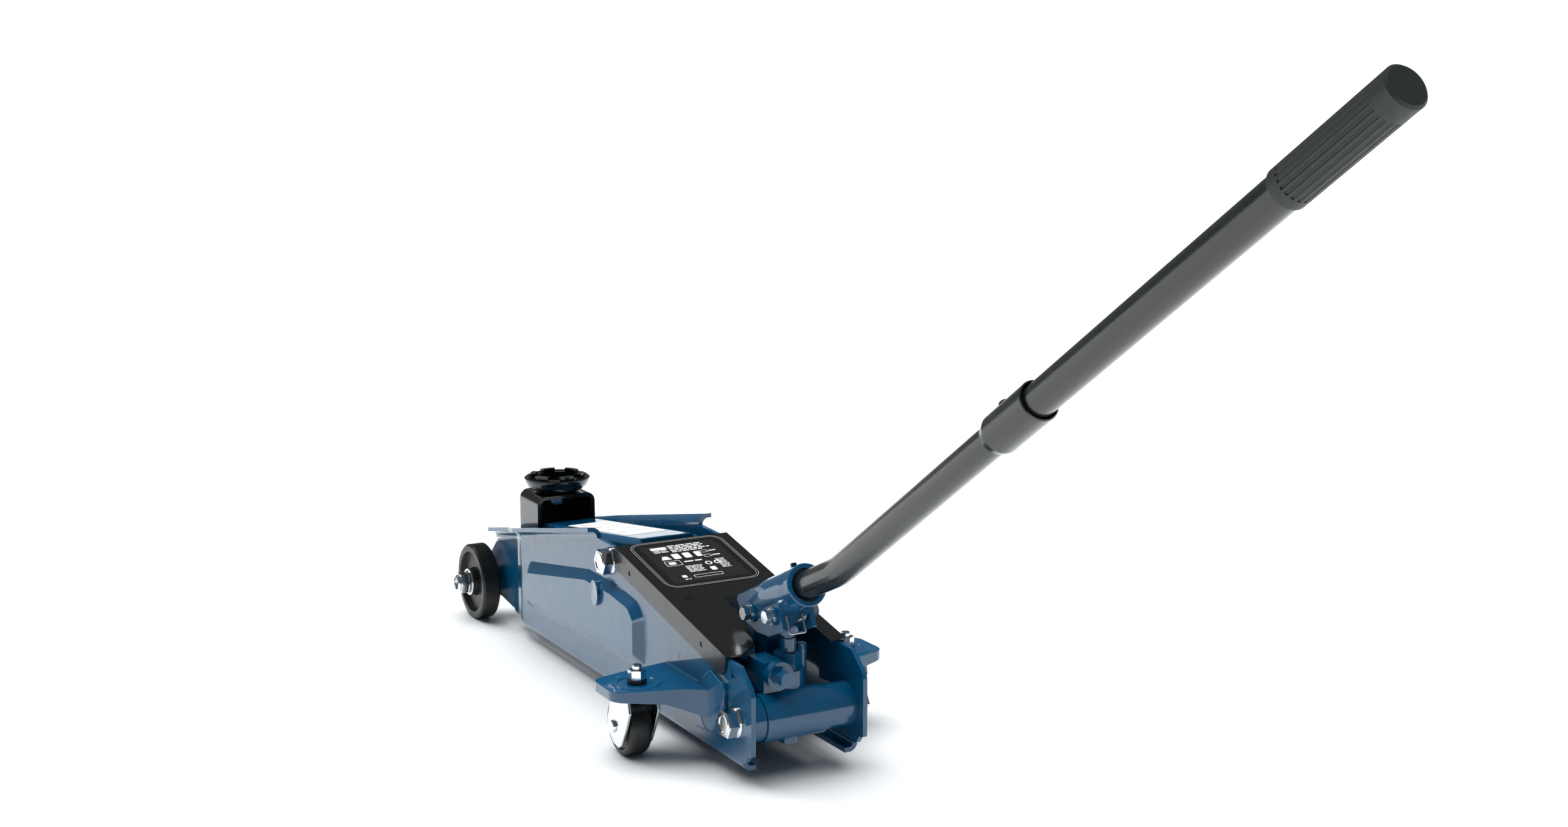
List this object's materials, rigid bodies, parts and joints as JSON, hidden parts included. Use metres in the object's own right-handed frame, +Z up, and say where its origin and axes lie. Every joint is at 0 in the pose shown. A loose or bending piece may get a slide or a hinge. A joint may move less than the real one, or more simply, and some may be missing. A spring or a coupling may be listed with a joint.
{
  "type": "hydraulic trolley jack",
  "caption": "Low hydraulic trolley jack: pressed side plates, levelled lift arm with a toothed swivel saddle, side casters and a bent two-part pump handle.",
  "frame": {"origin": "on the floor, under the middle of the jack's overall length and width with the handle as built", "axes": "+X forward, towards the saddle and front wheels; +Y left; +Z up"},
  "size_m": [1.2232, 0.2538, 0.5693],
  "materials": {
    "blue_paint": "gloss enamel",
    "gloss_black": "gloss enamel",
    "satin_black": "satin powder coat",
    "handle_grey": "satin powder coat",
    "grip_plastic": "fine matte",
    "wheel_plastic": "moulded nylon",
    "zinc": "bright zinc plate",
    "bright_steel": "ground steel",
    "black_rubber": "matte"
  },
  "bodies": {
    "chassis": {"side_plate_left": "blue_paint", "side_plate_right": "blue_paint", "front_axle": "zinc", "front_spacer_tube": "blue_paint", "axle_washers": "zinc", "axle_nuts": "zinc", "arm_pivot_shaft": "zinc", "arm_pivot_spacers": "bright_steel", "rear_bolt": "zinc", "frame_nuts": "zinc", "link_anchor_pins": "bright_steel", "spring_anchor_pins": "bright_steel", "return_springs": "bright_steel", "cover_plate": "satin_black", "cover_rivets": "satin_black", "pump_block": "blue_paint", "rear_sleeves": "blue_paint", "reservoir_tube": "blue_paint", "ram_cylinder": "bright_steel", "reservoir_head_nut": "blue_paint", "filler_plug": "black_rubber", "pump_gland_nut": "blue_paint", "caster_bracket_left": "blue_paint", "caster_bracket_right": "blue_paint", "caster_kingpins": "zinc", "caster_nuts": "zinc", "caster_races": "zinc", "caster_washers": "satin_black"},
    "lift_arm": {"lift_arm": "blue_paint", "crank_pin": "bright_steel", "arm_tip_pin": "bright_steel"},
    "saddle_bracket": {"saddle_bracket": "gloss_black", "link_front_pins": "bright_steel"},
    "saddle": {"saddle": "gloss_black", "saddle_nut": "zinc"},
    "link_rods": {"link_rods": "blue_paint"},
    "ram": {"ram": "bright_steel", "ram_seal": "black_rubber", "ram_rod_head": "bright_steel"},
    "plunger": {"pump_plunger": "blue_paint"},
    "release_valve": {"release_valve": "blue_paint"},
    "socket": {"handle_socket": "blue_paint", "socket_bolts": "zinc", "socket_bolt_nuts": "zinc", "push_shoe": "bright_steel", "clamp_screw": "satin_black", "socket_clip": "bright_steel"},
    "handle_lower": {"handle_lower_tube": "handle_grey", "handle_coupler": "handle_grey", "coupler_screw": "handle_grey"},
    "handle_upper": {"handle_upper_tube": "handle_grey", "handle_grip": "grip_plastic"},
    "front_wheel_left": {"front_wheel_left": "wheel_plastic"},
    "front_wheel_right": {"front_wheel_right": "wheel_plastic"},
    "caster_swivel_left": {"caster_fork_left": "zinc", "caster_axle_left": "zinc"},
    "caster_swivel_right": {"caster_fork_right": "zinc", "caster_axle_right": "zinc"},
    "caster_wheel_left": {"caster_wheel_left": "wheel_plastic"},
    "caster_wheel_right": {"caster_wheel_right": "wheel_plastic"}
  },
  "joints": [
    {"name": "arm_lift", "type": "hinge", "parent": "chassis", "child": "lift_arm", "pos_m": [0.26078, 0, 0.1277], "axis": [0, -1, 0], "range_deg": [-6.07, 56.96], "deforming": ["return_springs"]},
    {"name": "bracket_level", "type": "hinge", "parent": "lift_arm", "child": "saddle_bracket", "pos_m": [0.50858, 0, 0.092], "axis": [0, -1, 0], "range_deg": [-57, 6.1]},
    {"name": "saddle_turn", "type": "hinge", "parent": "saddle_bracket", "child": "saddle", "pos_m": [0.50858, 0, 0.14], "axis": [0, 0, 1], "continuous": true},
    {"name": "link_swing", "type": "hinge", "parent": "chassis", "child": "link_rods", "pos_m": [0.28078, 0, 0.0947], "axis": [0, -1, 0], "range_deg": [-6.1, 57]},
    {"name": "ram_stroke", "type": "slide", "parent": "chassis", "child": "ram", "axis": [1, 0, 0], "range_m": [-0.0058, 0.054]},
    {"name": "pump_swing", "type": "hinge", "parent": "chassis", "child": "socket", "pos_m": [0.06558, 0, 0.124], "axis": [0, 1, 0], "range_deg": [0, 35]},
    {"name": "plunger_stroke", "type": "slide", "parent": "chassis", "child": "plunger", "axis": [0, 0, 1], "range_m": [0, 0.02]},
    {"name": "valve_turn", "type": "hinge", "parent": "chassis", "child": "release_valve", "pos_m": [0.01358, 0.018, 0.085], "axis": [-1, 0, 0], "range_deg": [0, 270]},
    {"name": "handle_slide", "type": "slide", "parent": "socket", "child": "handle_lower", "axis": [-0.9114, 0, 0.4115], "range_m": [0, 0.045]},
    {"name": "upper_handle_slide", "type": "slide", "parent": "handle_lower", "child": "handle_upper", "axis": [-0.8284, 0, 0.5602], "range_m": [0, 0.04]},
    {"name": "front_wheel_left_spin", "type": "hinge", "parent": "chassis", "child": "front_wheel_left", "pos_m": [0.57358, 0.0607, 0.038], "axis": [0, 1, 0], "continuous": true},
    {"name": "caster_left_swivel", "type": "hinge", "parent": "chassis", "child": "caster_swivel_left", "pos_m": [0.10918, 0.0984, 0.056], "axis": [0, 0, 1], "continuous": true},
    {"name": "caster_left_spin", "type": "hinge", "parent": "caster_swivel_left", "child": "caster_wheel_left", "pos_m": [0.12458, 0.0984, 0.026], "axis": [0, 1, 0], "continuous": true},
    {"name": "front_wheel_right_spin", "type": "hinge", "parent": "chassis", "child": "front_wheel_right", "pos_m": [0.57358, -0.0607, 0.038], "axis": [0, 1, 0], "continuous": true},
    {"name": "caster_right_swivel", "type": "hinge", "parent": "chassis", "child": "caster_swivel_right", "pos_m": [0.10918, -0.0984, 0.056], "axis": [0, 0, 1], "continuous": true},
    {"name": "caster_right_spin", "type": "hinge", "parent": "caster_swivel_right", "child": "caster_wheel_right", "pos_m": [0.12458, -0.0984, 0.026], "axis": [0, 1, 0], "continuous": true}
  ],
  "couplings": [
    {"joint": "bracket_level", "follows": "arm_lift", "ratio": -1},
    {"joint": "link_swing", "follows": "arm_lift", "ratio": 1},
    {"joint": "ram_stroke", "follows": "arm_lift", "m_per_rad": 0.0542},
    {"joint": "plunger_stroke", "follows": "pump_swing", "m_per_rad": 0.0325}
  ]
}
